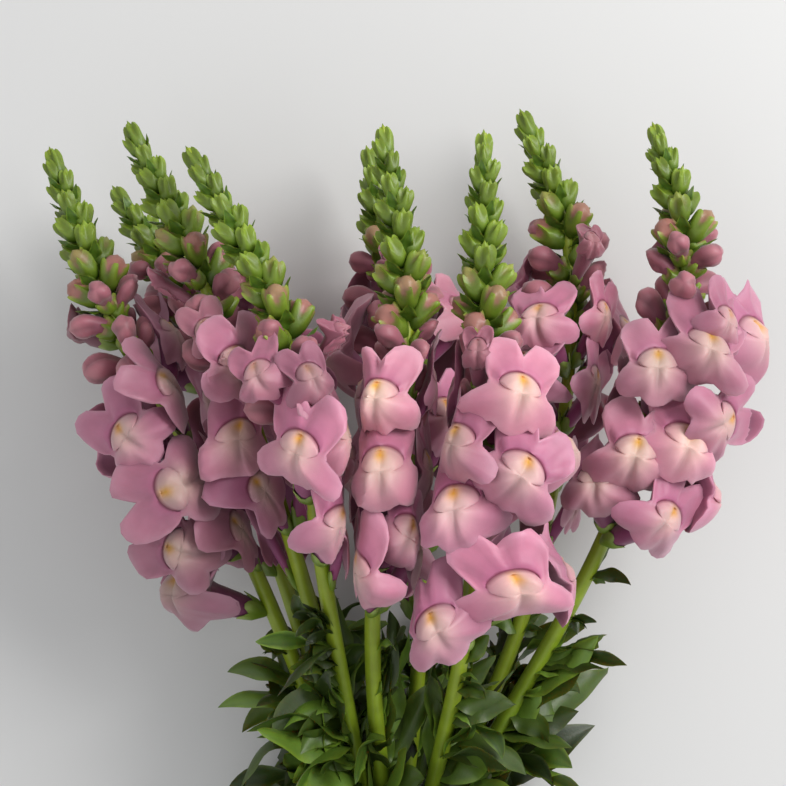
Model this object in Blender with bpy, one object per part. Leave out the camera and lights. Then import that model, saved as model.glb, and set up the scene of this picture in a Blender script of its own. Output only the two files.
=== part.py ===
# A tied bunch of nine cut snapdragon stems, laid down with the flowers at +Y.
# The stems lie side by side through the tie and fan out from it. Each one is
# a leafy green stem, with a head of open florets on it as a node of its own.

import math
import random

import bmesh
import bpy
import numpy as np

MM = 0.001

# Driving dimensions, in millimetres.
STEM_RADIUS = 3.7            # at the cut end
NECK_RADIUS = 3.1            # where the lowest floret sits
TIP_RADIUS = 0.9             # under the last bud
SLOT_RADIUS = 9.8            # eight stems stand round one in the tie
MIDDLE_SHIFT = 1.9           # the one in the middle leans on its neighbour
MIDDLE_SIDE = 135            # degrees round the tie to that neighbour
TIE_Y = -250.0               # middle of the tie, from the origin of the layout
TIE_WIDTH = 14.0
TIE_THICKNESS = 1.3
TIE_SIDES = 16
TAIL_LENGTH = 96.0           # bare stems below the tie
FLORET_REACH = 36.5          # stem's middle to the front of the palate
SLEEVE_WALL = 5.5            # the core that a head's florets grow together on
SLEEVE_GAP = 0.5             # between that core and its stem
HEAD_ROOM = 40.0             # what a head takes up round its stem
CONE_ROOM = 15.0             # what the buds above it take up
LEAF_ROOM = 24.0             # what the leaves below it take up
MARGIN = 0.9                 # kept to the surface half-way to the next stem
GOLDEN = 137.508             # degrees from one floret to the next

GREEN = (0.16, 0.25, 0.05)
PINK = (0.58, 0.28, 0.40)
TIE_COLOUR = (0.55, 0.42, 0.26)

# Each stem, from left to right: its place round the tie in degrees (None is
# the middle), then where its lowest floret, its first bud and its tip are, in
# millimetres: right, along the bunch, and up from the table.
# faces: the florets seen best, each as right and up of the lowest floret, its
# lean in degrees and its size. others: how many more the head has round it.
STEMS = [
    dict(slot=180, neck=(-56, -81, 62), bud=(-120, 39, 70), tip=(-146, 103, 62),
         faces=[(12, 92, -30, 1.0), (-16, 83, -25, 0.95), (-8, 56, -80, 1.0),
                (8, 29, -35, 1.0), (-20, 33, -50, 0.95)],
         others=5, first=150),
    dict(slot=225, neck=(-48, -82, 36), bud=(-98, 51, 34), tip=(-123, 90, 30),
         faces=[], others=9, first=20),
    dict(slot=None, neck=(-40, -70, 76), bud=(-80, 49, 80), tip=(-111, 112, 74),
         faces=[(-9, 58, 10, 1.0), (-6, 36, -30, 1.0), (-3, 100, -10, 0.75)],
         others=6, first=110),
    dict(slot=135, neck=(-29, -68, 98), bud=(-42, 19, 108), tip=(-83, 99, 98),
         faces=[(-3, 52, 15, 1.0), (9, 76, -10, 0.75), (-16, 80, -20, 0.75),
                (12, 24, 25, 0.95)],
         others=5, first=190),
    dict(slot=270, neck=(12, -91, 38), bud=(-2, 57, 38), tip=(-12, 107, 34),
         faces=[], others=10, first=60),
    dict(slot=90, neck=(-8, -79, 94), bud=(6, 23, 106), tip=(-4, 108, 96),
         faces=[(-12, 80, -10, 0.9), (-4, 56, -10, 1.0), (-10, 18, -12, 1.05),
                (13, 32, 25, 0.9)],
         others=6, first=170),
    dict(slot=45, neck=(31, -83, 98), bud=(36, 19, 108), tip=(37, 105, 100),
         faces=[(-13, 67, 0, 0.95), (-11, 45, -10, 1.0), (14, 86, 15, 0.95),
                (14, 58, 30, 1.05), (15, 19, -15, 1.05), (-13, 3, -35, 1.0)],
         others=5, first=200),
    dict(slot=315, neck=(62, -77, 40), bud=(76, 65, 40), tip=(56, 123, 36),
         faces=[(22, 112, 15, 0.85), (18, 84, 25, 0.95), (-20, 108, -10, 0.85)],
         others=7, first=130),
    dict(slot=0, neck=(96, -46, 60), bud=(123, 60, 66), tip=(111, 114, 60),
         faces=[(-5, 25, -5, 1.0), (14, 35, 5, 1.0), (11, 73, 5, 0.95),
                (-8, 60, -15, 0.95), (19, 84, 20, 0.8), (17, 5, 25, 0.95),
                (26, 47, 55, 0.95), (-17, 9, -20, 0.9)],
         others=4, first=160),
]

# Half of a floret's edge, from the notch between its upper lobes down to the
# middle of its lower lip: right, up and out from the stem's middle.
LIP_HALF = [(0, 36, 30), (9, 46, 27), (17, 37, 26), (11, 25, 30),
            (17, 14, 30), (7, 11, 34), (0, 3, 31)]
# The palate's foot on the lip's front, and the throat behind the lip.
PALATE_RING = [(0, 33, 33), (8.5, 27, 34.5), (6, 15, 36), (-6, 15, 36), (-8.5, 27, 34.5)]
THROAT_RING = [(0, 30, 26), (6.5, 24, 26), (4.5, 14, 25), (-4.5, 14, 25), (-6.5, 24, 26)]
PALATE_TOP = (0, 24, 39.5)
FACE_CENTRE = 24.0           # how far above its calyx a floret's face is
LIP_OWNERS = [0, 0, 1, 1, 2, 2, 2, 3, 3, 4, 4, 0]
TUBE_FOOT = (0.0, 0.6, 6.9)  # middle of the tube's end, inside the head's core
TUBE_RADIUS = 3.8
STEM_SIDES = 5
BUD_RINGS = [(0,), (1, 2, 3), (4,)]
LEAF_RINGS = [(0,), (1, 2, 3), (4, 5, 6), (7,)]


def clear_scene():
    for item in list(bpy.data.objects):
        bpy.data.objects.remove(item, do_unlink=True)


def make_material(name, colour, roughness):
    material = bpy.data.materials.new(name)
    material.use_nodes = True
    shader = material.node_tree.nodes["Principled BSDF"]
    shader.inputs["Base Color"].default_value = (*colour, 1.0)
    shader.inputs["Roughness"].default_value = roughness
    material.diffuse_color = (*colour, 1.0)
    return material


def blend(low, high, t):
    t = min(1.0, max(0.0, t))
    return low + (high - low) * t


# The stems' centre lines

def spline(points, step=2.0):
    points = [np.array(p, float) for p in points]
    spans = [np.linalg.norm(b - a) for a, b in zip(points, points[1:])]
    tangents = []
    for k in range(len(points)):
        before = points[k] - points[k - 1] if k else points[1] - points[0]
        after = points[k + 1] - points[k] if k < len(spans) else before
        direction = before / np.linalg.norm(before) + after / np.linalg.norm(after)
        tangents.append(direction / np.linalg.norm(direction))
    line = []
    for k, span in enumerate(spans):
        for t in np.linspace(0, 1, max(2, int(span / step)), endpoint=False):
            line.append((2 * t**3 - 3 * t**2 + 1) * points[k]
                        + (t**3 - 2 * t**2 + t) * span * tangents[k]
                        + (3 * t**2 - 2 * t**3) * points[k + 1]
                        + (t**3 - t**2) * span * tangents[k + 1])
    line.append(points[-1])
    return np.array(line)


def lay_out(stem):
    middle = stem["slot"] is None
    angle = math.radians(MIDDLE_SIDE if middle else stem["slot"])
    radius = MIDDLE_SHIFT if middle else SLOT_RADIUS
    tie_height = SLOT_RADIUS + STEM_RADIUS + TIE_THICKNESS + 0.3
    x = radius * math.cos(angle)
    z = tie_height + radius * math.sin(angle)
    half = TIE_WIDTH / 2
    route = [(x, TIE_Y - half - TAIL_LENGTH, z), (x, TIE_Y - half, z),
             (x, TIE_Y + half + 4, z), stem["neck"], stem["bud"], stem["tip"]]
    line = spline(route)
    stem["line"] = line
    lengths = np.concatenate([[0], np.cumsum(np.linalg.norm(np.diff(line, axis=0), axis=1))])
    neck = np.argmin(np.linalg.norm(line - np.array(stem["neck"]), axis=1))
    bud = np.argmin(np.linalg.norm(line - np.array(stem["bud"]), axis=1))
    stem["station"] = lengths - lengths[neck]
    stem["head"] = stem["station"][bud]
    tie = np.argmin(np.linalg.norm(line - np.array(route[2]), axis=1))
    stem["tie"] = stem["station"][tie]
    along = np.gradient(line, axis=0)
    stem["along"] = along / np.linalg.norm(along, axis=1)[:, None]
    up = np.array([0.0, 0.0, 1.0])
    out = up - stem["along"] * (stem["along"] @ up)[:, None]
    stem["out"] = out / np.linalg.norm(out, axis=1)[:, None]
    stem["side"] = np.cross(stem["along"], stem["out"])
    stem["weight"] = np.array([room_at(stem, s) for s in stem["station"]])


def room_at(stem, station):
    if station > stem["head"] - 12:
        return blend(HEAD_ROOM, CONE_ROOM, (station - stem["head"] + 12) / 24)
    if station > -22:
        return HEAD_ROOM
    if station > stem["tie"] + 25:
        return blend(LEAF_ROOM, HEAD_ROOM, (station + 42) / 20)
    return blend(5.0, LEAF_ROOM, (station - stem["tie"]) / 25)


def frame_at(stem, station):
    k = int(np.searchsorted(stem["station"], station))
    k = min(max(k, 1), len(stem["line"]) - 1)
    low, high = stem["station"][k - 1], stem["station"][k]
    t = (station - low) / (high - low)
    middle = stem["line"][k - 1] * (1 - t) + stem["line"][k] * t
    return middle, stem["side"][k], stem["along"][k], stem["out"][k]


def stem_radius(stem, station):
    if station < 0:
        return blend(STEM_RADIUS, NECK_RADIUS, 1 + station / 150)
    if station < stem["head"]:
        return blend(NECK_RADIUS, 2.3, station / stem["head"])
    rest = stem["station"][-1] - stem["head"]
    return blend(2.3, TIP_RADIUS, (station - stem["head"]) / rest)


# The room that each stem has beside its neighbours

def nearest(points, stem):
    apart = np.linalg.norm(points[:, None, :] - stem["line"][None, :, :], axis=2)
    k = np.argmin(apart, axis=1)
    return apart[np.arange(len(points)), k], stem["weight"][k], k


def crossing(points, own):
    reach, weight, _ = nearest(points, own)
    worst = np.full(len(points), -1e9)
    for other in STEMS:
        if other is not own:
            far, far_weight, _ = nearest(points, other)
            share = (reach * far_weight - far * weight) / (weight + far_weight)
            worst = np.maximum(worst, share)
    return worst


def free_reach(feet, directions, own, limit):
    low = np.zeros(len(feet))
    high = np.full(len(feet), limit)
    clear = crossing(feet + directions * limit, own) < -MARGIN
    for _ in range(9):
        middle = (low + high) / 2
        inside = crossing(feet + directions * middle[:, None], own) < -MARGIN
        low = np.where(inside, middle, low)
        high = np.where(inside, high, middle)
    low = np.where(clear, limit, low)
    down = -directions[:, 2]
    floor = np.where(down > 0.05, feet[:, 2] / np.maximum(down, 0.05) * 1.03, limit)
    return np.minimum(low, floor)


def squeeze(points, stem):
    reach, room, k = nearest(points, stem)
    feet = stem["line"][k]
    away = points - feet
    along = stem["along"][k]
    flat = away - along * np.sum(away * along, axis=1)[:, None]
    feet = points - flat
    reach = np.linalg.norm(flat, axis=1)
    directions = flat / np.maximum(reach, 1e-6)[:, None]
    free = free_reach(feet, directions, stem, HEAD_ROOM)
    core = np.array([stem_radius(stem, s) for s in stem["station"][k]])
    factor = np.clip((free - core) / (room - core), 0.2, 1.0)
    moved = np.where(reach > core, core + (reach - core) * factor, reach)
    return feet + directions * moved[:, None]


def bend_clear(points, rings, stem):
    # A blade's or a bud's rings keep their shape, and each moves as one.
    shift = squeeze(points, stem) - points
    bent = points.copy()
    for ring in rings:
        ring = list(ring)
        furthest = max(ring, key=lambda k: np.linalg.norm(shift[k]))
        bent[ring] += shift[furthest]
    return bent


# Closed shapes, as points and triangles

def stitch(edge, ring, owners, flip):
    faces = []
    for k in range(len(edge)):
        n = (k + 1) % len(edge)
        faces.append((edge[k], edge[n], ring[owners[k]]))
        if owners[k] != owners[n]:
            faces.append((edge[n], ring[owners[n]], ring[owners[k]]))
    return [f[::-1] for f in faces] if flip else faces


def floret_shape(openness, draw):
    half = [np.array(p, float) for p in LIP_HALF]
    lip = half + [p * np.array([-1, 1, 1]) for p in half[-2:0:-1]]
    lip = [p + np.array([draw.uniform(-1.3, 1.3) for _ in range(3)]) for p in lip]
    shut = 1 - openness
    for p in lip:
        p[0] *= 1 - 0.6 * shut
        p[1] = FACE_CENTRE + (p[1] - FACE_CENTRE) * (1 - 0.45 * shut)
        p[2] += 7 * shut if p[1] > FACE_CENTRE else 3 * shut
    foot = np.array(TUBE_FOOT)
    tilt = np.array([0, 0.7, -0.7])
    base = []
    for k in range(5):
        turn = math.radians(90 - 72 * k)
        base.append(foot + TUBE_RADIUS * (np.array([math.cos(turn), 0, 0]) + tilt * math.sin(turn)))
    palate = [np.array(p, float) for p in PALATE_RING]
    throat = [np.array(p, float) for p in THROAT_RING]
    for p in palate:
        p[0] *= 1 - 0.5 * shut
    points = base + throat + lip + palate + [np.array(PALATE_TOP, float)]
    ends = list(range(5))
    backs = list(range(5, 10))
    edge = list(range(10, 22))
    front = list(range(22, 27))
    faces = [(0, 1, 2), (0, 2, 3), (0, 3, 4)]
    for k in range(5):
        n = (k + 1) % 5
        faces += [(ends[k], backs[n], ends[n]), (ends[k], backs[k], backs[n])]
        faces.append((front[k], front[n], 27))
    faces += stitch(edge, backs, LIP_OWNERS, True)
    faces += stitch(edge, front, LIP_OWNERS, False)
    return np.array(points), faces


def bud_shape(length, width, lean):
    up = np.array([0, math.cos(lean), math.sin(lean)])
    out = np.array([0, -math.sin(lean), math.cos(lean)])
    side = np.array([1.0, 0, 0])
    points = [np.array([0, 0, 0.8])]
    for turn in (math.radians(90), math.radians(210), math.radians(330)):
        ring = (side * math.cos(turn) + out * math.sin(turn)) * width * 0.55
        points.append(up * length * 0.5 + ring)
    points.append(up * length)
    faces = [(0, 1 + k, 1 + (k + 1) % 3) for k in range(3)]
    faces += [(4, 1 + (k + 1) % 3, 1 + k) for k in range(3)]
    return np.array(points), faces


def leaf_shape(length, width, rise, curl, twist):
    spine = [np.array([0, -1.0, 0.5])]
    angle = rise
    steps = (0.34, 0.36, 0.30)
    for part in steps:
        spine.append(spine[-1] + length * part * np.array([0, math.cos(angle), math.sin(angle)]))
        angle += curl
    points = [spine[0]]
    angle = rise
    for k, half in ((1, width * 0.5), (2, width * 0.42)):
        normal = np.array([0, -math.sin(angle), math.cos(angle)])
        turn = twist * k
        side = np.array([math.cos(turn), 0, 0]) + normal * math.sin(turn)
        over = normal * math.cos(turn) - np.array([math.sin(turn), 0, 0])
        points += [spine[k] - side * half, spine[k] - over * 1.3, spine[k] + side * half]
        angle += curl
    points.append(spine[3])
    faces = []
    for k in range(3):
        n = (k + 1) % 3
        faces += [(0, 1 + k, 1 + n), (1 + k, 4 + k, 4 + n), (1 + k, 4 + n, 1 + n),
                  (4 + k, 7, 4 + n)]
    return np.array(points), faces


# Placing the shapes on a stem

def place(shape, stem, station, azimuth, lean=0.0, size=1.0):
    points, faces = shape
    middle, side, along, out = frame_at(stem, station)
    turn = math.radians(azimuth)
    outward = out * math.cos(turn) + side * math.sin(turn)
    sideways = side * math.cos(turn) - out * math.sin(turn)
    tilt = math.radians(lean)
    foot = np.array([0.0, 0.0, 9.0])
    points = foot + (points - foot) * size
    x = points[:, 0] * math.cos(tilt) + points[:, 1] * math.sin(tilt)
    y = points[:, 1] * math.cos(tilt) - points[:, 0] * math.sin(tilt)
    return middle + np.outer(x, sideways) + np.outer(y, along) + np.outer(points[:, 2], outward), faces


def florets(stem, draw):
    chosen = []
    for right, up, lean, size in stem["faces"]:
        tilt = math.radians(lean)
        lift = FACE_CENTRE * size
        across = (right - lift * math.sin(tilt)) / FLORET_REACH
        azimuth = math.degrees(math.asin(max(-1, min(1, across))))
        chosen.append((up - lift * math.cos(tilt), azimuth, lean, size))
    count = stem["others"]
    last = stem["head"] - 16
    azimuth = stem["first"]
    for k in range(count):
        station = blend(-8, last, k / (count - 1)) + draw.uniform(-2, 2)
        azimuth += GOLDEN
        for _ in range(12):
            near = [c for c in chosen if abs(c[0] - station) < 20]
            apart = [abs((c[1] - azimuth + 180) % 360 - 180) for c in near]
            if not apart or min(apart) > 48:
                break
            azimuth += 31
        chosen.append((station, azimuth, draw.uniform(-14, 14), None))
    finished = []
    for station, azimuth, lean, size in chosen:
        age = 1 - (station + 8) / (last + 8)
        if size is None:
            size = blend(0.62, 1.0, age * 3.2)
        openness = blend(0.15, 1.0, (size - 0.6) / 0.3)
        finished.append((station, azimuth, lean, size, openness))
    return finished


def buds(stem, draw):
    first = stem["head"] - 5
    last = stem["station"][-1] - 3
    count = max(15, int((last - first) / 4.6))
    placed = []
    for k in range(count):
        t = k / (count - 1)
        station = blend(first, last, t ** 0.92)
        length = blend(17.0, 9.0, t)
        width = blend(11.0, 6.0, t)
        lean = math.radians(blend(48, 26, t) + draw.uniform(-5, 5))
        placed.append((station, stem["first"] + GOLDEN * k, length, width, lean))
    return placed


def leaves(stem, lowest, draw):
    placed = []
    station = lowest - 27
    azimuth = stem["first"]
    while station > stem["tie"] + 16:
        azimuth += GOLDEN
        middle, side, _, out = frame_at(stem, station)
        best = None
        for k in range(8):
            turn = math.radians(azimuth + 45 * k)
            outward = out * math.cos(turn) + side * math.sin(turn)
            free = free_reach(middle[None, :], outward[None, :], stem, 30.0)[0]
            score = min(free, 22) - 1.2 * min(k, 8 - k)
            if best is None or score > best[0]:
                best = (score, azimuth + 45 * k, free)
        grown = blend(0.7, 1.25, -station / 130)
        if best[2] > 11:
            placed.append((station, best[1], 27 * grown * draw.uniform(0.85, 1.15),
                           8.0 * grown * draw.uniform(0.85, 1.1), draw.uniform(0.5, 0.8),
                           draw.uniform(0.15, 0.6), draw.uniform(-0.5, 0.5)))
        station -= draw.uniform(10, 14)
    return placed


# Meshes and nodes

def mesh_object(name, points, faces, collection):
    mesh = bpy.data.meshes.new(name)
    shape = bmesh.new()
    corners = [shape.verts.new(np.asarray(p) * MM) for p in points]
    for face in faces:
        shape.faces.new([corners[k] for k in face])
    bmesh.ops.recalc_face_normals(shape, faces=shape.faces)
    if shape.calc_volume(signed=True) < 0:
        bmesh.ops.reverse_faces(shape, faces=shape.faces)
    shape.to_mesh(mesh)
    shape.free()
    item = bpy.data.objects.new(name, mesh)
    collection.objects.link(item)
    return item


def fuse(base, pieces, name, material):
    group = bpy.data.collections.new(name + "_pieces")
    bpy.context.scene.collection.children.link(group)
    for item in pieces:
        bpy.context.scene.collection.objects.unlink(item)
        group.objects.link(item)
    union = base.modifiers.new("union", "BOOLEAN")
    union.operation = "UNION"
    union.solver = "MANIFOLD"
    union.operand_type = "COLLECTION"
    union.collection = group
    graph = bpy.context.evaluated_depsgraph_get()
    mesh = bpy.data.meshes.new_from_object(base.evaluated_get(graph))
    base.modifiers.remove(union)
    for item in pieces:
        bpy.data.objects.remove(item, do_unlink=True)
    bpy.data.collections.remove(group)
    mesh.materials.clear()
    mesh.materials.append(material)
    base.data = mesh
    base.name = name
    settle(mesh)
    return base


def settle(mesh):
    shape = bmesh.new()
    shape.from_mesh(mesh)
    drop_scraps(shape)
    if min(corner.co.z for corner in shape.verts) < 0:
        geometry = shape.verts[:] + shape.edges[:] + shape.faces[:]
        cut = bmesh.ops.bisect_plane(shape, geom=geometry, plane_co=(0, 0, 0),
                                     plane_no=(0, 0, -1), clear_outer=True)
        edges = [e for e in cut["geom_cut"] if isinstance(e, bmesh.types.BMEdge)]
        bmesh.ops.holes_fill(shape, edges=edges)
        drop_scraps(shape)
    bmesh.ops.dissolve_degenerate(shape, edges=shape.edges, dist=2e-6)
    bmesh.ops.triangulate(shape, faces=shape.faces)
    shape.to_mesh(mesh)
    shape.free()
    mesh.shade_smooth()
    mesh.set_sharp_from_angle(angle=math.radians(40))


def drop_scraps(shape):
    # A blade's end that the squeeze or the table cuts off is left out.
    waiting = set(shape.verts)
    bodies = []
    while waiting:
        body = set()
        edge = [waiting.pop()]
        while edge:
            corner = edge.pop()
            body.add(corner)
            for link in corner.link_edges:
                next_corner = link.other_vert(corner)
                if next_corner in waiting:
                    waiting.discard(next_corner)
                    edge.append(next_corner)
        bodies.append(body)
    largest = max(bodies, key=len)
    scraps = [v for body in bodies if body is not largest for v in body]
    if scraps:
        print("dropped", len(bodies) - 1, "scraps of", len(scraps), "points")
        bmesh.ops.delete(shape, geom=scraps, context="VERTS")


def core_marks(stem, lowest):
    return list(np.linspace(lowest - 5, stem["head"] - 9, 5))


def stem_tube(stem, lowest, scene):
    low = stem["station"][0]
    top = stem["station"][-1]
    marks = [low, stem["tie"] - TIE_WIDTH - 4, stem["tie"]]
    marks += list(np.linspace(stem["tie"] + 16, lowest - 28, 4))
    marks += core_marks(stem, lowest)
    marks += list(np.linspace(stem["head"] + 10, top, 3))
    return mesh_object("stem", *tube(stem, marks, lambda s: stem_radius(stem, s)), scene)


def tube(stem, marks, radius_at):
    sides = STEM_SIDES
    points = []
    faces = []
    for ring, station in enumerate(marks):
        middle, side, _, out = frame_at(stem, station)
        radius = radius_at(station)
        for k in range(sides):
            turn = 2 * math.pi * k / sides
            points.append(middle + radius * (side * math.cos(turn) + out * math.sin(turn)))
            if ring:
                n = (k + 1) % sides
                here, below = ring * sides, (ring - 1) * sides
                faces.append((below + k, below + n, here + n, here + k))
    faces.append(tuple(range(sides)))
    faces.append(tuple(range(len(points) - 1, len(points) - sides - 1, -1)))
    return np.array(points), faces


def sleeve(stem, lowest, scene):
    # The core of a head: a wall round the stem, clear of it all the way.
    marks = core_marks(stem, lowest)
    inner, _ = tube(stem, marks, lambda s: stem_radius(stem, s) + SLEEVE_GAP)
    outer, _ = tube(stem, marks, lambda s: stem_radius(stem, s) + SLEEVE_WALL)
    points = np.concatenate([inner, squeeze(outer, stem)])
    half = len(inner)
    faces = []
    for ring in range(len(marks)):
        for k in range(STEM_SIDES):
            a = ring * STEM_SIDES + k
            b = ring * STEM_SIDES + (k + 1) % STEM_SIDES
            if ring:
                for base in (0, half):
                    faces.append((base + a - STEM_SIDES, base + b - STEM_SIDES, base + b, base + a))
            if ring in (0, len(marks) - 1):
                faces.append((a, b, half + b, half + a))
    return mesh_object("sleeve", points, faces, scene)


def build_stem(number, stem, material, scene):
    draw = random.Random(100 + number)
    lowest = min(floret[0] for floret in florets(stem, random.Random(number)))
    pieces = []
    for station, azimuth, length, width, lean in buds(stem, draw):
        points, faces = place(bud_shape(length, width, lean), stem, station, azimuth)
        points = bend_clear(points, BUD_RINGS, stem)
        pieces.append(mesh_object("bud", points, faces, scene))
    for station, azimuth, length, width, rise, curl, twist in leaves(stem, lowest, draw):
        points, faces = place(leaf_shape(length, width, rise, curl, twist), stem, station, azimuth)
        points = bend_clear(points, LEAF_RINGS, stem)
        pieces.append(mesh_object("leaf", points, faces, scene))
    return fuse(stem_tube(stem, lowest, scene), pieces, f"leafy_stem_{number}", material)


def build_head(number, stem, material, scene):
    draw = random.Random(500 + number)
    pieces = []
    placed = florets(stem, random.Random(number))
    for station, azimuth, lean, size, openness in placed:
        points, faces = place(floret_shape(openness, draw), stem, station, azimuth, lean, size)
        pieces.append(mesh_object("floret", squeeze(points, stem), faces, scene))
    core = sleeve(stem, min(floret[0] for floret in placed), scene)
    return fuse(core, pieces, f"flower_head_{number}", material)


def build_tie(material, scene):
    inner = SLOT_RADIUS + STEM_RADIUS + 0.3
    middle = inner + TIE_THICKNESS
    shape = bmesh.new()
    for y in (TIE_Y - TIE_WIDTH / 2, TIE_Y + TIE_WIDTH / 2):
        for radius in (inner, middle):
            for k in range(TIE_SIDES):
                turn = 2 * math.pi * (k + 0.5) / TIE_SIDES
                reach = radius / math.cos(math.pi / TIE_SIDES)
                shape.verts.new(((reach * math.cos(turn)) * MM, y * MM,
                                 (middle + reach * math.sin(turn)) * MM))
    shape.verts.ensure_lookup_table()
    n = TIE_SIDES
    for k in range(n):
        a, b = k, (k + 1) % n
        for p, q in ((0, n), (n, 3 * n), (3 * n, 2 * n), (2 * n, 0)):
            shape.faces.new([shape.verts[p + a], shape.verts[p + b],
                             shape.verts[q + b], shape.verts[q + a]])
    bmesh.ops.recalc_face_normals(shape, faces=shape.faces)
    mesh = bpy.data.meshes.new("tie")
    shape.to_mesh(mesh)
    shape.free()
    mesh.materials.append(material)
    item = bpy.data.objects.new("tie", mesh)
    scene.objects.link(item)
    return item


def centre_on_origin():
    corners = np.array([v.co for item in bpy.data.objects for v in item.data.vertices])
    middle = (corners.min(axis=0) + corners.max(axis=0)) / 2
    for item in bpy.data.objects:
        for corner in item.data.vertices:
            corner.co.x -= middle[0]
            corner.co.y -= middle[1]


def main():
    clear_scene()
    scene = bpy.context.scene.collection
    for stem in STEMS:
        lay_out(stem)
    for number, stem in enumerate(STEMS, 1):
        green = make_material(f"stem_green_{number}", GREEN, 0.5)
        pink = make_material(f"petal_pink_{number}", PINK, 0.6)
        build_stem(number, stem, green, scene)
        build_head(number, stem, pink, scene)
    build_tie(make_material("tie_band", TIE_COLOUR, 0.8), scene)
    centre_on_origin()


main()
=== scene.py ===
import math
import random

import bmesh
import bpy
import numpy as np
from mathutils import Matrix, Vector


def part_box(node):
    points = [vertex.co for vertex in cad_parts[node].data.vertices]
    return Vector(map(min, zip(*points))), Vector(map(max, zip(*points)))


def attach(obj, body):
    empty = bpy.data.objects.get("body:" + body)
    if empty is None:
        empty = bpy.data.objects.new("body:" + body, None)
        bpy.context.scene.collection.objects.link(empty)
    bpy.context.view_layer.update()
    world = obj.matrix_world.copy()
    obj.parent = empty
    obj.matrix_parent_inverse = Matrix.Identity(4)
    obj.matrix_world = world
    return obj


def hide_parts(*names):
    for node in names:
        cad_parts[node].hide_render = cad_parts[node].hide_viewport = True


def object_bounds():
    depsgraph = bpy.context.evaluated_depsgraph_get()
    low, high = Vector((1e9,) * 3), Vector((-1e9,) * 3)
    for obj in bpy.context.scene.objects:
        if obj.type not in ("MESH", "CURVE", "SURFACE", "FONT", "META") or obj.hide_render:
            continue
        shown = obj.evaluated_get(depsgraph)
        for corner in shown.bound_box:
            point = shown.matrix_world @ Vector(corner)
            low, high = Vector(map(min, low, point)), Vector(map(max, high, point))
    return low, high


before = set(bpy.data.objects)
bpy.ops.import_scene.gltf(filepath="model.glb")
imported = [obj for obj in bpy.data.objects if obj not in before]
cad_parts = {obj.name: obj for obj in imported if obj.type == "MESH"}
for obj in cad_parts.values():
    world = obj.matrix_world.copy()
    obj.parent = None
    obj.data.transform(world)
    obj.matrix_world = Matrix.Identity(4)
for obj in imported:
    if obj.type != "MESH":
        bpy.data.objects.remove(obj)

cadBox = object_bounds()
millimetre = 0.001
edgeGap = 0.0001       # metres kept clear inside the CAD box
weldGap = 2e-6         # metres within which corners are merged
crispAngle = 70        # degrees, so that the cut ends alone stay crisp
seeds = dict(florets=0, lips=500, looks=900, greens=100)

# the bunch's layout in millimetres and degrees, as the solids have it
layout = dict(stemRadius=3.7, neckRadius=3.1, budRadius=2.3, tipRadius=0.9, taper=150,
              slotRadius=9.8, middleShift=1.9, middleSide=135, slack=0.3, tieY=-250.0,
              tieWidth=14.0, tieThickness=1.3, tailLength=96.0, reach=36.5, pivot=9.0,
              golden=137.508, sidestep=31)

# how far each part of a stem may spread, and where one spread eases into the next
rooms = dict(head=40.0, cone=15.0, leaf=24.0, tie=5.0, coneEase=12, leafWide=-22, leafNarrow=-42,
             tieEase=25, margin=0.9, tightest=0.2, floorEase=3.0, floorLow=0.25)

# slot: place round the tie; neck, bud and tip: lowest floret, first bud, tip
# faces: right, up, lean and size of the florets that the photo shows best
# tone: painted shade, darkening all florets of a left head as if it lay in shadow
stems = [
    dict(slot=180, neck=(-56, -81, 62), bud=(-120, 39, 70), tip=(-146, 103, 62),
         faces=[(12, 92, -30, 1.0), (-16, 83, -25, 0.95), (-8, 56, -80, 1.0),
                (8, 29, -35, 1.0), (-20, 33, -50, 0.95)],
         others=5, first=150, tone=0.76, bare=48),
    dict(slot=225, neck=(-48, -82, 36), bud=(-98, 51, 34), tip=(-123, 90, 30),
         faces=[], others=9, first=20, tone=0.82),
    dict(slot=None, neck=(-40, -70, 76), bud=(-80, 49, 80), tip=(-111, 112, 74),
         faces=[(-9, 58, 10, 1.0), (-6, 36, -30, 1.0), (-3, 100, -10, 0.75)],
         others=6, first=110, tone=0.92),
    dict(slot=135, neck=(-29, -68, 98), bud=(-42, 19, 108), tip=(-83, 99, 98),
         faces=[(-3, 52, 15, 1.0), (9, 76, -10, 0.75), (-16, 80, -20, 0.75),
                (12, 24, 25, 0.95)],
         others=5, first=190),
    dict(slot=270, neck=(12, -91, 38), bud=(-2, 57, 38), tip=(-12, 107, 34),
         faces=[], others=10, first=60),
    dict(slot=90, neck=(-8, -79, 94), bud=(6, 23, 106), tip=(-4, 108, 96),
         faces=[(-12, 80, -10, 0.9), (-4, 56, -10, 1.0), (-10, 18, -12, 1.05),
                (13, 32, 25, 0.9)],
         others=6, first=170),
    dict(slot=45, neck=(31, -83, 98), bud=(36, 19, 108), tip=(37, 105, 100),
         faces=[(-13, 67, 0, 0.95), (-11, 45, -10, 1.0), (14, 86, 15, 0.95),
                (14, 58, 30, 1.05), (15, 19, -15, 1.05), (-13, 3, -35, 1.0)],
         others=5, first=200),
    dict(slot=315, neck=(62, -77, 40), bud=(76, 65, 40), tip=(56, 123, 36),
         faces=[(22, 112, 15, 0.85), (18, 84, 25, 0.95), (-20, 108, -10, 0.85)],
         others=7, first=130),
    dict(slot=0, neck=(96, -46, 60), bud=(123, 60, 66), tip=(111, 114, 60),
         faces=[(-5, 25, -5, 1.0), (14, 35, 5, 1.0), (11, 73, 5, 0.95),
                (-8, 60, -15, 0.95), (19, 84, 20, 0.8), (17, 5, 25, 0.95),
                (26, 47, 55, 0.95), (-17, 9, -20, 0.9)],
         others=4, first=160, bare=72),
]

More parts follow.
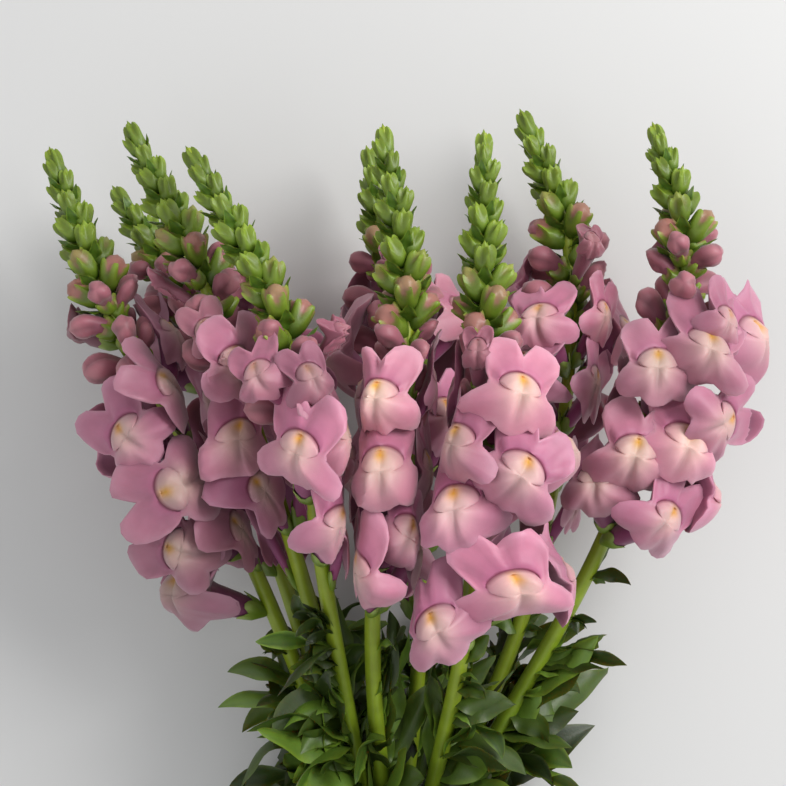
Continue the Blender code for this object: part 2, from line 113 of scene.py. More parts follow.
tieLow, tieHigh = [np.array(corner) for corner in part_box("tie")]
shift = (tieLow + tieHigh) / 2 * 1000 - np.array([0, layout["tieY"], 0])
shift[2] = 0           # from the layout's origin to the frame's
insideLow, insideHigh = np.array(cadBox[0]) + edgeGap, np.array(cadBox[1]) - edgeGap


def mix(low, high, t):
    return low + (high - low) * min(1.0, max(0.0, t))


def smooth(t):
    t = np.clip(t, 0, 1)
    return t * t * (3 - 2 * t)


def blend(first, second, share):
    return first * (1 - share) + second * share


def linear(red, green, blue):
    return tuple(((c / 255 + 0.055) / 1.055) ** 2.4 for c in (red, green, blue))


# centre lines

def spline(points, step=2.0):
    points = [np.array(p, float) for p in points]
    spans = [np.linalg.norm(b - a) for a, b in zip(points, points[1:])]
    tangents = []
    for k in range(len(points)):
        before = points[k] - points[k - 1] if k else points[1] - points[0]
        after = points[k + 1] - points[k] if k < len(spans) else before
        direction = before / np.linalg.norm(before) + after / np.linalg.norm(after)
        tangents.append(direction / np.linalg.norm(direction))
    line = []
    for k, span in enumerate(spans):
        for t in np.linspace(0, 1, max(2, int(span / step)), endpoint=False):
            line.append((2 * t**3 - 3 * t**2 + 1) * points[k]
                        + (t**3 - 2 * t**2 + t) * span * tangents[k]
                        + (3 * t**2 - 2 * t**3) * points[k + 1]
                        + (t**3 - t**2) * span * tangents[k + 1])
    line.append(points[-1])
    return np.array(line)


def roomAt(stem, station):
    ease, tieTop = rooms["coneEase"], stem["tie"] + rooms["tieEase"]
    narrow, wide = rooms["leafNarrow"], rooms["leafWide"]
    if station > stem["head"] - ease:
        return mix(rooms["head"], rooms["cone"], (station - stem["head"] + ease) / (2 * ease))
    if station > wide:
        return rooms["head"]
    if station > tieTop:
        return mix(rooms["leaf"], rooms["head"], (station - narrow) / (wide - narrow))
    return mix(rooms["tie"], rooms["leaf"], (station - stem["tie"]) / rooms["tieEase"])


def layOut(stem):
    middle = stem["slot"] is None
    angle = math.radians(layout["middleSide"] if middle else stem["slot"])
    radius = layout["middleShift"] if middle else layout["slotRadius"]
    height = layout["slotRadius"] + layout["stemRadius"] + layout["tieThickness"] + layout["slack"]
    x, z = radius * math.cos(angle), height + radius * math.sin(angle)
    half = layout["tieWidth"] / 2
    tieY = layout["tieY"]
    route = [(x, tieY - half - layout["tailLength"], z), (x, tieY - half, z),
             (x, tieY + half + 4, z), stem["neck"], stem["bud"], stem["tip"]]
    line = spline(route)
    lengths = np.concatenate([[0], np.cumsum(np.linalg.norm(np.diff(line, axis=0), axis=1))])

    def closest(point):
        return np.argmin(np.linalg.norm(line - np.array(point), axis=1))
    stem["line"] = line
    stem["station"] = lengths - lengths[closest(stem["neck"])]     # 0 at the lowest floret
    stem["head"] = stem["station"][closest(stem["bud"])]
    stem["tie"] = stem["station"][closest(route[2])]
    along = np.gradient(line, axis=0)
    stem["along"] = along / np.linalg.norm(along, axis=1)[:, None]
    up = np.array([0.0, 0.0, 1.0])
    out = up - stem["along"] * (stem["along"] @ up)[:, None]
    stem["out"] = out / np.linalg.norm(out, axis=1)[:, None]
    stem["side"] = np.cross(stem["along"], stem["out"])
    stem["room"] = np.array([roomAt(stem, s) for s in stem["station"]])
    stem["core"] = np.array([stemRadius(stem, s) for s in stem["station"]])


def stemRadius(stem, station):
    if station < 0:
        return mix(layout["stemRadius"], layout["neckRadius"], 1 + station / layout["taper"])
    if station < stem["head"]:
        return mix(layout["neckRadius"], layout["budRadius"], station / stem["head"])
    rest = stem["station"][-1] - stem["head"]
    return mix(layout["budRadius"], layout["tipRadius"], (station - stem["head"]) / rest)


def frameAt(stem, station):
    k = int(np.searchsorted(stem["station"], station))
    k = min(max(k, 1), len(stem["line"]) - 1)
    low, high = stem["station"][k - 1], stem["station"][k]
    t = (station - low) / (high - low)
    middle = stem["line"][k - 1] * (1 - t) + stem["line"][k] * t
    return middle, stem["side"][k], stem["along"][k], stem["out"][k]


# the room each stem has beside its neighbours

def nearest(points, stem):
    apart = np.linalg.norm(points[:, None, :] - stem["line"][None, :, :], axis=2)
    k = np.argmin(apart, axis=1)
    return apart[np.arange(len(points)), k], stem["room"][k], k


def crossing(points, own):                   # above 0 where a point is past the halfway line
    reach, weight, _ = nearest(points, own)
    worst = np.full(len(points), -1e9)
    for other in stems:
        if other is not own:
            far, farWeight, _ = nearest(points, other)
            worst = np.maximum(worst, (reach * farWeight - far * weight) / (weight + farWeight))
    return worst


def freeReach(feet, directions, own, limit, halvings=9, level=0.05, past=1.03):
    low = np.zeros(len(feet))
    high = np.full(len(feet), limit)
    clear = crossing(feet + directions * limit, own) < -rooms["margin"]
    for _ in range(halvings):
        middle = (low + high) / 2
        inside = crossing(feet + directions * middle[:, None], own) < -rooms["margin"]
        low = np.where(inside, middle, low)
        high = np.where(inside, high, middle)
    low = np.where(clear, limit, low)
    down = -directions[:, 2]                 # a way that points down ends at the surface
    floor = np.where(down > level, feet[:, 2] / np.maximum(down, level) * past, limit)
    return np.minimum(low, floor)


def measureRoom(stem, turns=32, every=3):    # a table of free reach, by station and azimuth
    rows = np.arange(0, len(stem["line"]), every)
    angles = np.arange(turns) * 2 * math.pi / turns
    feet = np.repeat(stem["line"][rows], turns, axis=0)
    sides = np.repeat(stem["side"][rows], turns, axis=0)
    outs = np.repeat(stem["out"][rows], turns, axis=0)
    turn = np.tile(angles, len(rows))[:, None]
    ways = outs * np.cos(turn) + sides * np.sin(turn)
    stem["free"] = freeReach(feet, ways, stem, rooms["head"]).reshape(len(rows), turns)
    stem["every"] = every


def squeeze(points, stem):                   # draws points in to the room that their stem has
    _, room, k = nearest(points, stem)
    along = stem["along"][k]
    away = points - stem["line"][k]
    flat = away - along * np.sum(away * along, axis=1)[:, None]
    feet = points - flat
    reach = np.linalg.norm(flat, axis=1)
    ways = flat / np.maximum(reach, 1e-6)[:, None]
    turn = np.arctan2(np.sum(ways * stem["side"][k], axis=1), np.sum(ways * stem["out"][k], axis=1))
    table = stem["free"]
    rows, turns = table.shape
    place = (turn / (2 * math.pi) * turns) % turns
    a = place.astype(int) % turns
    f = place - place.astype(int)
    r = np.minimum(k / stem["every"], rows - 1.001)
    i = r.astype(int)
    g = r - i
    free = ((table[i, a] * (1 - f) + table[i, (a + 1) % turns] * f) * (1 - g)
            + (table[i + 1, a] * (1 - f) + table[i + 1, (a + 1) % turns] * f) * g)
    core = stem["core"][k]
    factor = np.clip((free - core) / (room - core), rooms["tightest"], 1.0)
    moved = np.where(reach > core, core + (reach - core) * factor, reach)
    result = feet + ways * moved[:, None]
    height = result[:, 2]                    # what would sink into the surface lies along it
    ease, low = rooms["floorEase"], rooms["floorLow"]
    flattened = low + (ease - low) * np.exp((np.minimum(height, ease) - ease) / (ease - low))
    result[:, 2] = np.where(height < ease, flattened, height)
    return result


# meshes from operators: a grid is bent to each shape, then its seam and poles are closed

def startPiece():
    piece = bmesh.new()
    tint = piece.verts.layers.float_color.new("tint")
    return piece, tint


def bendGrid(piece, tint, shape, surface, closed=True):
    made = bmesh.ops.create_grid(piece, x_segments=shape["columns"] + 1, y_segments=shape["rows"],
                                 size=1.0)
    corners = made["verts"]
    v = np.array([(c.co.x + 1) / 2 for c in corners])
    u = np.array([(c.co.y + 1) / 2 for c in corners])
    places, colours = surface(u, v)
    places = np.clip((places + shift) * millimetre, insideLow, insideHigh)
    for corner, place, colour in zip(corners, places, colours):
        corner.co = place
        corner[tint] = (colour[0], colour[1], colour[2], 1.0)
    if closed:
        bmesh.ops.remove_doubles(piece, verts=corners, dist=weldGap)


def finishPiece(piece, name, material, nodes):
    bmesh.ops.recalc_face_normals(piece, faces=piece.faces)
    mesh = bpy.data.meshes.new(name)
    piece.to_mesh(mesh)
    piece.free()
    mesh.shade_smooth()
    mesh.set_sharp_from_angle(angle=math.radians(crispAngle))
    item = bpy.data.objects.new(name, mesh)
    bpy.context.scene.collection.objects.link(item)
    mesh.materials.append(material)
    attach(item, "root")
    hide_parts(*nodes)


# places on a stem

def toWorld(local, stem, station, azimuth, lean, size):
    middle, side, along, out = frameAt(stem, station)
    turn = math.radians(azimuth)
    outward = out * math.cos(turn) + side * math.sin(turn)
    sideways = side * math.cos(turn) - out * math.sin(turn)
    tilt = math.radians(lean)
    foot = np.array([0.0, 0.0, layout["pivot"]])
    local = foot + (local - foot) * size
    x = local[:, 0] * math.cos(tilt) + local[:, 1] * math.sin(tilt)
    y = local[:, 1] * math.cos(tilt) - local[:, 0] * math.sin(tilt)
    return middle + np.outer(x, sideways) + np.outer(y, along) + np.outer(local[:, 2], outward)


def onStem(bend, stem, station, azimuth, lean=0.0, size=1.0):
    def surface(u, v):
        local, colour = bend(u, v)
        return squeeze(toWorld(local, stem, station, azimuth, lean, size), stem), colour
    return surface


def openAzimuth(chosen, station, azimuth, shape):      # steps round until no neighbour is near
    near = [c[1] for c in chosen if abs(c[0] - station) < shape["apart"]]
    for _ in range(12):
        if all(abs((other - azimuth + 180) % 360 - 180) > shape["spread"] for other in near):
            break
        azimuth += layout["sidestep"]
    return azimuth


# florets

floret = dict(rows=22, columns=44, faceCentre=24.0, lowest=-8, below=16, apart=20, spread=48,
              young=0.62, curlAngles=(28, 126, 180, 234, 332), curl=(-9.5, 2.5), grow=(0.9, 1.14),
              curlWidth=0.42, ruffle=1.5, ruffles=7, pleat=0.5, pleats=13, groove=1.7, cheek=0.7,
              nod=(-0.55, 0.05), yaw=(-0.55, 0.55), toneAndPaintedLight=(0.74, 1.1))
# crease and throat are painted shade at the mouth; tube and lipBack are the petals' deeper colour,
# darkened further as painted shade
petal = dict(lip=linear(200, 127, 151), lipBack=linear(142, 76, 102), edge=linear(212, 147, 168),
             crease=linear(186, 104, 138), throat=linear(128, 46, 74), tube=linear(152, 66, 114),
             palate=linear(222, 170, 174), palateTop=linear(228, 194, 178),
             spot=linear(230, 166, 40), young=linear(150, 88, 100))
lobes = [(0, 15, 27.5), (12, 21.5, 26), (25, 24, 25), (40, 24, 24.5), (55, 21, 26), (70, 15, 28),
         (84, 12, 30.5), (97, 15.5, 31), (111, 20.5, 28.5), (126, 22, 27), (140, 19.5, 28.5),
         (152, 15.5, 31), (166, 17, 29), (180, 18, 28)]       # angle, reach and height of the lip

# rings from the tube's root to the palate's tip: middle, half width, half height and tilt
rings = dict(root=((0.0, 0.6, 6.9), 0, 0, 0), foot=((0.0, 0.6, 6.9), 3.8, 2.7, -2.7),
             tube=((0, 6.5, 13), 5.0, 4.2, -3.2), neck=((0, 13.5, 19.5), 5.8, 5.6, -2.4),
             throat=((0, 20.0, 24.6), 6.8, 8.2, -0.4), crease=((0, 24, 31.6), 9.6, 8.2, 0.4),
             palate=((0, 23.0, 35.2), 9.4, 7.4, -0.9), bulge=((0, 23.4, 37.6), 6.4, 5.0, -1.0),
             crown=((0, 23.8, 38.3), 3.0, 2.4, -0.3), tip=((0, 23.9, 38.5), 0, 0, 0))

# share of the way from one ring to the next, and how far upper and lower lip stand forward
backSteps = [(0.25, -0.6, 0.4), (0.5, -0.9, 0.8), (0.75, -0.4, 0.6), (0.93, 0, 0.2),
             (1.0, 0.2, 0.2)]
hoodSteps = [(0.05, 0.8, 0.9), (0.18, 0.7, 0), (0.36, 0.1, 0), (0.56, -0.1, 0), (0.78, 0.5, 0),
             (0.93, 0.8, 0)]
lowerSteps = (0.05, 0.13, 0.23, 0.34, 0.45, 0.54, 0.61, 0.67, 0.73, 0.79, 0.86, 0.94, 1.0)

# soft patches on the face: half width, half height and height
patches = dict(palate=(8.0, 10.5, 22.5), palateTop=(7.4, 6.4, 27.0), spot=(2.1, 2.0, 29.4))


def placeFlorets(stem, draw):
    chosen = []
    for right, up, lean, size in stem["faces"]:
        tilt = math.radians(lean)
        lift = floret["faceCentre"] * size
        across = (right - lift * math.sin(tilt)) / layout["reach"]
        azimuth = math.degrees(math.asin(max(-1, min(1, across))))
        chosen.append((up - lift * math.cos(tilt), azimuth, lean, size))
    count = stem["others"]
    lowest, last = floret["lowest"], stem["head"] - floret["below"]
    azimuth = stem["first"]
    for k in range(count):
        station = mix(lowest, last, k / (count - 1)) + draw.uniform(-2, 2)
        azimuth = openAzimuth(chosen, station, azimuth + layout["golden"], floret)
        chosen.append((station, azimuth, draw.uniform(-14, 14), None))
    finished = []
    for station, azimuth, lean, size in chosen:
        age = 1 - (station - lowest) / (last - lowest)
        if size is None:
            size = mix(floret["young"], 1.0, age * 3.2)
        openness = mix(0.15, 1.0, (size - 0.6) / 0.3)
        finished.append((station, azimuth, lean, size, openness))
    return finished


def lipOutline(openness, draw):
    half = [(math.radians(a), r, z) for a, r, z in lobes]
    ring = half + [(2 * math.pi - a, r, z) for a, r, z in half[-2:0:-1]]
    curls = [(math.radians(a), draw.uniform(*floret["curl"]), draw.uniform(*floret["grow"]))
             for a in floret["curlAngles"]]                  # each lobe curls its own way
    shut = 1 - openness
    centre = floret["faceCentre"]
    lip = []
    for a, r, z in ring:
        for middle, lift, grow in curls:
            away = (a - middle + math.pi) % (2 * math.pi) - math.pi
            near = math.exp(-(away / floret["curlWidth"]) ** 2)
            z += lift * near
            r *= 1 + (grow - 1) * near
        r += draw.uniform(-0.5, 0.5)
        x = r * math.sin(a) * (1 - 0.6 * shut)
        y = centre + r * math.cos(a) * (1 - 0.45 * shut)
        lip.append((x, y, z + (7 * shut if y > centre else 3 * shut)))
    return np.array(lip)


def roundOutline(points, v):                 # a smooth closed curve through the outline's points
    n = len(points)
    t = (v * n) % n
    i = t.astype(int) % n
    f = (t - t.astype(int))[:, None]
    p0, p1, p2, p3 = points[(i - 1) % n], points[i], points[(i + 1) % n], points[(i + 2) % n]
    return 0.5 * (2 * p1 + (p2 - p0) * f + (2 * p0 - 5 * p1 + 4 * p2 - p3) * f**2
                  + (3 * p1 - p0 - 3 * p2 + p3) * f**3)


def floretRows(turn, top, low, lip, narrow):
    s, c = np.sin(turn), np.cos(turn)

    def ring(name, factor=1.0):
        centre, wide, tall, tilt = rings[name]
        return np.stack([centre[0] + wide * factor * s, centre[1] + tall * c,
                         centre[2] + tilt * c], 1)

    def stepped(first, second, steps):
        return [blend(first, second, share) + np.array([0, 0, 1.0]) * (top * upper + low * lower)
                for share, upper, lower in steps]

    throat, tip = ring("throat"), ring("tip")
    crease, palate = ring("crease", narrow), ring("palate", narrow)
    bulge, crown = ring("bulge", narrow), ring("crown", narrow)
    behind = [ring("root"), ring("foot"), ring("tube"), ring("neck"), throat,
              *stepped(throat, lip, backSteps)]
    above = [*stepped(lip, crease, hoodSteps), crease, *stepped(crease, palate, [(0.6, 0.4, 0)]),
             palate, *stepped(palate, bulge, [(0.55, 0.7, 0)]), bulge, crown, tip]
    below = []
    for share in lowerSteps:                 # the lower lip falls from the palate in one curve
        fall = blend(lip, tip, share)
        fall[:, 2] = lip[:, 2] + (tip[:, 2] - lip[:, 2]) * (1 - (1 - share) ** 2.1) + 0.5
        below.append(fall)
    front = [blend(lower, upper, top) for upper, lower in zip(above, below)]
    return np.array(behind + front), len(behind)


def floretSurface(openness, outline, phase):
    shut = 1 - openness
    narrow = 1 - 0.5 * shut

    def surface(u, v):
        turn = v * 2 * math.pi
        s, c = np.sin(turn), np.cos(turn)
        flat = np.zeros_like(s)
        top = smooth((c + 0.1) / 0.45)[:, None]        # 1 on the upper lip, 0 on the lower
        low = 1 - top
        lip = roundOutline(outline, v)
        waves = np.sin(turn * floret["ruffles"] + phase) + 0.5 * np.sin(turn * 11 + 2 * phase)
        lip = lip + np.stack([flat, flat, floret["ruffle"] * waves * (1 - 0.6 * shut)], 1)
        lip = lip + np.stack([s, c, flat], 1) * (0.35 * np.sin(turn * 9 + 3 * phase))[:, None]
        keys, front = floretRows(turn, top, low, lip, narrow)
        last = len(keys) - 1
        mouthRow = front + 6
        row = np.clip(np.round(u * last).astype(int), 0, last)
        place = keys[row, np.arange(len(s))]
        lowSide, topSide = low[:, 0], top[:, 0]
        dome = smooth((row - front) / 6) * (lowSide + topSide * (row > mouthRow + 1))
        cleft = np.exp(-(place[:, 0] / 1.5) ** 2)      # a groove between two cheeks
        place[:, 2] -= floret["groove"] * cleft * dome
        pleats = (np.sin(turn * floret["pleats"] + phase)
                  * np.sin(np.clip((row - front + 1) / 7, 0, 1) * math.pi))
        place[:, 2] += floret["pleat"] * pleats * (topSide + 0.5 * lowSide)
        cheeks = np.exp(-((np.abs(place[:, 0]) - 4.6) / 2.4) ** 2)
        place[:, 2] += floret["cheek"] * cheeks * dome * (row < last)
        colour = floretColour(row, front, mouthRow, place, narrow, lowSide, topSide, openness)
        # the groove between the cheeks is darkened a little as painted shade
        colour = colour * (1 - (cleft * dome * 0.22)[:, None] * low)
        aged = min(0.9, 1.15 * shut)
        faded = np.array(petal["young"]) * aged * (0.7 + 0.8 * colour.mean(1, keepdims=True))
        return place, colour * (1 - aged) + faded
    return surface


def floretColour(row, front, mouthRow, place, narrow, lowSide, topSide, openness):
    tone = {name: np.array(value) for name, value in petal.items()}

    def over(colour, name, amount):
        return blend(colour, tone[name], amount[:, None])

    def patch(name, across):
        wide, tall, height = patches[name]
        return np.exp(-((across / wide) ** 2 + ((place[:, 1] - height) / tall) ** 2))

    # behind the lip: the tube's and the lip back's deeper colour, darkened further as painted
    # shade, most at the root
    shades = [tone["tube"] * 0.8, tone["tube"], tone["tube"], tone["tube"],
              (tone["tube"] + tone["lipBack"]) / 2, tone["lipBack"], tone["lipBack"],
              tone["lipBack"], (tone["lip"] + tone["lipBack"]) / 2, tone["edge"], tone["edge"],
              tone["edge"] * 0.5 + tone["lip"] * 0.5] + [tone["lip"]] * 11
    shadow = np.array([0] * 13 + [0.15, 0.45, 0.85, 0.5, 0.2] + [0] * 5)
    colour = over(np.array(shades)[row], "crease", shadow[row] * topSide)
    # the mouth row is painted dark: painted shade in the gap under the upper lip
    colour = over(colour, "throat", np.where(row == mouthRow, topSide, 0))
    inner = (row >= front) * (lowSide + topSide * (row > mouthRow))
    colour = over(colour, "palate", inner * patch("palate", place[:, 0] / narrow))
    colour = over(colour, "palateTop", inner * 0.95 * patch("palateTop", place[:, 0] / narrow))
    spot = np.where(row > mouthRow, patch("spot", place[:, 0]), 0)
    return over(colour, "spot", spot * openness)


# closed corollas just under the buds

# light: a painted highlight colour for the snouts' tips
young = dict(rows=13, columns=20, count=10, long=(32, 18), wide=(14.5, 9.5), start=28, end=92,
             below=46, apart=15, spread=42, folds=1.5, steps=24,
             along=[0, 0.1, 0.3, 0.5, 0.68, 0.82, 0.94, 1],
             profile=[0, 0.5, 0.6, 0.78, 1.0, 0.96, 0.62, 0],
             sheathLong=0.46, sheathWide=0.92, sheathLean=16, sheathRipe=0.6,
             base=linear(126, 62, 90), tip=linear(166, 98, 110), light=linear(190, 126, 132))


def youngSurface(length, width, phase):
    start, bend, steps = young["start"], young["end"] - young["start"], young["steps"]

    def surface(u, v):
        turn = v * 2 * math.pi
        at = np.linspace(0, 1, steps + 1)
        angles = np.radians(start + bend * np.linspace(0, 1, steps))
        y = np.concatenate([[0], np.cumsum(np.cos(angles))]) * length / steps
        z = 1.5 + np.concatenate([[0], np.cumsum(np.sin(angles))]) * length / steps
        angle = np.radians(start + bend * u)
        outer = smooth((u - 0.4) / 0.2)
        crease = outer * np.abs(np.cos(turn * young["folds"] + phase)) ** 6
        radius = np.interp(u, young["along"], young["profile"]) * width / 2
        radius = radius * (1 - 0.2 * crease + 0.05 * outer * np.sin(turn * 5 + phase))
        x, lift = radius * np.sin(turn), radius * np.cos(turn)
        place = np.stack([x, np.interp(u, at, y) - lift * np.sin(angle),
                          np.interp(u, at, z) + lift * np.cos(angle)], 1)
        # painted highlight: the tip is lightened in two bands round the snout
        toneAndPaintedLight = smooth((u - 0.7) / 0.3) * (0.5 + 0.5 * np.sin(turn * 2 + phase)) * 0.7
        colour = blend(np.array(young["base"]), np.array(young["tip"]), smooth(u * 1.3)[:, None])
        colour = blend(colour, np.array(young["light"]), toneAndPaintedLight[:, None])
        # the folds are darkened as painted shade
        return place, colour * (1 - crease[:, None] * 0.35)
    return surface


def placeYoung(stem, placed, draw):
    chosen = [(station, azimuth) for station, azimuth, *_ in placed]
    result = []
    azimuth = stem["first"] + 70
    for k in range(young["count"]):
        t = k / (young["count"] - 1)
        station = stem["head"] - mix(young["below"], 1, t) + draw.uniform(-1.5, 1.5)
        azimuth = openAzimuth(chosen, station, azimuth + layout["golden"], young)
        chosen.append((station, azimuth))
        result.append((station, azimuth, mix(*young["long"], t), mix(*young["wide"], t),
                       draw.uniform(0, 6)))
    return result


# buds, bracts, calyces, leaves and stems

green = dict(cut=linear(196, 206, 140), stem=linear(152, 168, 40), stemLow=linear(116, 142, 30),
             calyx=linear(108, 134, 36), calyxEdge=linear(146, 164, 80), bud=linear(136, 160, 48),
             budDark=linear(70, 98, 20), budTip=linear(168, 114, 102), leaf=linear(42, 64, 13),
             leafLight=linear(104, 128, 34), leafBack=linear(64, 86, 26))
budShape = dict(rows=12, columns=20, long=(19, 12), wide=(11.2, 5.4), lean=(44, 16), every=3.3,
                top=(17, 7.0), topAt=15, start=6, stop=16, crowd=0.94,
                along=[0, 0.1, 0.28, 0.46, 0.62, 0.78, 0.92, 1],
                pointed=[0, 0.5, 0.9, 1.0, 0.84, 0.5, 0.16, 0],
                blunt=[0, 0.5, 0.84, 0.98, 1.0, 0.92, 0.6, 0])
bractShape = dict(long=0.85, wide=0.72, rise=0.25, curl=0.1, shade=2.4, below=3.5)
calyxShape = dict(rows=6, columns=20, sepal=5.0, flare=0.9,
                  depths=[-7.5, -5.0, 0.5, 3.0, 3.2, 2.0, 0.0],
                  radii=[0.0, 1.9, 4.9, 5.4, 5.1, 4.4, 0.0])
leafShape = dict(rows=17, columns=4, steps=24, thickness=0.5, long=28, wide=12.5, wave=0.2,
                 dense=4, bare=30, clear=12, gap=(8, 11), grown=(0.75, 1.3), grownBy=50,
                 small=[(20, 0.45), (42, 0.6)],
                 sizes=[0.55, 0.75, 0.9, 1.0, 1.25, 1.6], shades=[0.5, 0.8, 1.0, 1.4, 2.2])
stemShape = dict(columns=14, every=5.0, ridge=0.048, ridges=4, dark=-120, light=30)


def budSurface(length, width, lean, ripe, shade):
    up = np.array([0, math.cos(lean), math.sin(lean)])
    out = np.array([0, -math.sin(lean), math.cos(lean)])

    def surface(u, v):
        turn = v * 2 * math.pi
        pointed = np.interp(u, budShape["along"], budShape["pointed"])
        blunt = np.interp(u, budShape["along"], budShape["blunt"])
        point = smooth(np.cos(turn * 5) * 1.4)         # 1 along the middle of each sepal
        window = smooth((u - 0.34) / 0.2) * smooth((0.86 - u) / 0.16)
        radius = blend(pointed, blunt, ripe) * (1 + window * (0.34 * point - 0.16)) * width / 2
        reach = u * length + 3.0 * window * point
        place = (np.array([0, 0, 0.8]) + np.outer(reach, up)
                 + np.outer(radius * np.cos(turn), [1.0, 0, 0])
                 + np.outer(radius * np.sin(turn), out))
        body = blend(np.array(green["budDark"]), np.array(green["bud"]), smooth(u * 1.3)[:, None])
        # darker in the hollows between the sepals: painted shade
        body = body * (1 - 0.38 * (window * (1 - point))[:, None]) * shade
        corolla = (smooth((u - 0.56 - 0.2 * point) / 0.07) * ripe)[:, None]
        return place, blend(body, np.array(green["budTip"]), corolla)
    return surface


def calyxSurface():
    foot = np.array(rings["foot"][0])
    way = np.array([0, 0.707, 0.707])
    tilt = np.array([0, 0.707, -0.707])

    def surface(u, v):
        turn = v * 2 * math.pi
        row = np.round(u * calyxShape["rows"]).astype(int)
        sepal = np.isin(row, (3, 4)) * np.abs(np.cos(turn * 2.5)) ** 0.8
        depth = np.array(calyxShape["depths"])[row] + calyxShape["sepal"] * sepal
        wide = np.array(calyxShape["radii"])[row] + calyxShape["flare"] * sepal
        place = (foot + np.outer(depth, way) + np.outer(wide * np.sin(turn), [1.0, 0, 0])
                 + np.outer(wide * np.cos(turn), tilt))
        return place, blend(np.array(green["calyx"]), np.array(green["calyxEdge"]), sepal[:, None])
    return surface


def leafSurface(length, width, rise, curl, twist, sway, shade, side):
    face = np.array(green["leaf"] if side < 0 else green["leafBack"])
    steps = leafShape["steps"]

    def surface(u, v):
        angles = rise + curl * 3 * (np.arange(steps) / steps)
        runs = np.stack([np.cos(angles), np.sin(angles)], 1) * length / steps
        root = np.array([-1.0, 0.5])
        spine = np.concatenate([[root], root + np.cumsum(runs, axis=0)])
        at = np.linspace(0, 1, steps + 1)
        y, z = np.interp(u, at, spine[:, 0]), np.interp(u, at, spine[:, 1])
        angle = rise + curl * 3 * u
        half = width / 2 * np.sin(math.pi * np.clip(u, 0, 1) ** 0.78) ** 0.85 * 1.05 + 0.05
        across = (v * 2 - 1)
        turn = twist * 2 * u
        wave = leafShape["wave"] * np.abs(across) * np.sin(u * 12 + sway * 9 + across * 1.5)
        fold = np.abs(across) * 0.32 + wave
        lift = (fold * half - side * leafShape["thickness"] / 2 * (1 - np.abs(across) ** 3)
                * np.sin(math.pi * u) ** 0.5)
        x = across * half * np.cos(turn) - lift * np.sin(turn)
        rest = across * half * np.sin(turn) + lift * np.cos(turn)
        place = np.stack([x + sway * length * u ** 2, y - rest * np.sin(angle),
                          z + rest * np.cos(angle)], 1)
        rib = np.exp(-(across / 0.16) ** 2) + 0.8 * smooth((np.abs(across) - 0.75) / 0.25)
        return place, blend(face, np.array(green["leafLight"]), 0.45 * rib[:, None]) * shade
    return surface


def addLeaf(piece, tint, stem, station, azimuth, shape):
    for side in (-1, 1):                     # upper and lower face, joined along their edge
        bend = leafSurface(*shape, side)
        bendGrid(piece, tint, leafShape, onStem(bend, stem, station, azimuth), closed=False)


def placeBuds(stem, draw):
    tip = stem["station"][-1]
    first, last = stem["head"] - budShape["start"], tip - budShape["stop"]
    count = int((last - first) / budShape["every"])
    placed = []
    for k in range(count):
        t = k / (count - 1)
        station = mix(first, last, t ** budShape["crowd"])
        lean = math.radians(mix(*budShape["lean"], t) + draw.uniform(-5, 5))
        placed.append((station, stem["first"] + layout["golden"] * k, mix(*budShape["long"], t),
                       mix(*budShape["wide"], t), lean, t))
    placed.append((tip - budShape["topAt"], stem["first"], *budShape["top"], 0.0, 1.0))
    return placed                            # the last one is the growing tip


def placeLeaves(stem, lowest, draw):
    bare = stem.get("bare", leafShape["bare"])
    whorls = [(lowest - below, 3, grown) for below, grown in leafShape["small"]]
    station = -bare
    while station > stem["tie"] + leafShape["clear"]:
        grown = mix(*leafShape["grown"], (-bare - station) / leafShape["grownBy"])
        whorls.append((station, leafShape["dense"], grown))
        station -= draw.uniform(*leafShape["gap"])
    placed = []
    azimuth = stem["first"]
    rows, turns = stem["free"].shape
    for station, count, grown in whorls:
        k = int(np.searchsorted(stem["station"], station)) // stem["every"]
        reach = stem["free"][min(k, rows - 1)]
        for _ in range(count):
            azimuth += layout["golden"] + draw.uniform(-25, 25)
            best = None
            for j in range(8):               # the side with most room, near the leaf's own
                way = azimuth + 45 * j
                free = reach[int(round((way % 360) / 360 * turns)) % turns]
                facing = math.cos(math.radians(way))          # stems show in front of their leaves
                score = min(free, 20) - 1.2 * min(j, 8 - j) - 9 * max(0.0, facing - 0.35)
                if best is None or score > best[0]:
                    best = (score, way, free)
            if best[2] > 5:
                spread = draw.choice(leafShape["sizes"])
                placed.append((station + draw.uniform(-3, 3), best[1] + draw.uniform(-18, 18),
                               leafShape["long"] * grown * spread,
                               leafShape["wide"] * grown * spread ** 0.6 * draw.uniform(0.7, 1.15),
                               draw.uniform(0.15, 1.1), draw.uniform(-0.2, 0.75),
                               draw.uniform(-1.2, 1.2), draw.uniform(-0.5, 0.5),
                               draw.choice(leafShape["shades"])))
    return placed


def stemSurface(stem, rows):
    low, high = stem["station"][0], stem["station"][-1]
    cut, pale, dark = [np.array(green[name]) for name in ("cut", "stem", "stemLow")]

    def surface(u, v):
        turn = v * 2 * math.pi
        places, colours = [], []
        for a, t in zip(u, turn):
            row = round(a * rows)
            station = low + (high - low) * min(1, max(0, (row - 1) / (rows - 2)))
            middle, side, along, out = frameAt(stem, station)
            ridge = 1 + stemShape["ridge"] * math.cos(t * stemShape["ridges"])
            radius = stemRadius(stem, station) * ridge
            if row in (0, rows):             # the middle of the cut end, and the tip
                radius = 0.0
            places.append(middle + radius * (side * math.cos(t) + out * math.sin(t)))
            height = (station - stemShape["dark"]) / (stemShape["light"] - stemShape["dark"])
            colours.append(cut if row == 0 else blend(dark, pale, mix(0, 1, height)))
        return np.array(places), np.array(colours)
    return surface


# materials

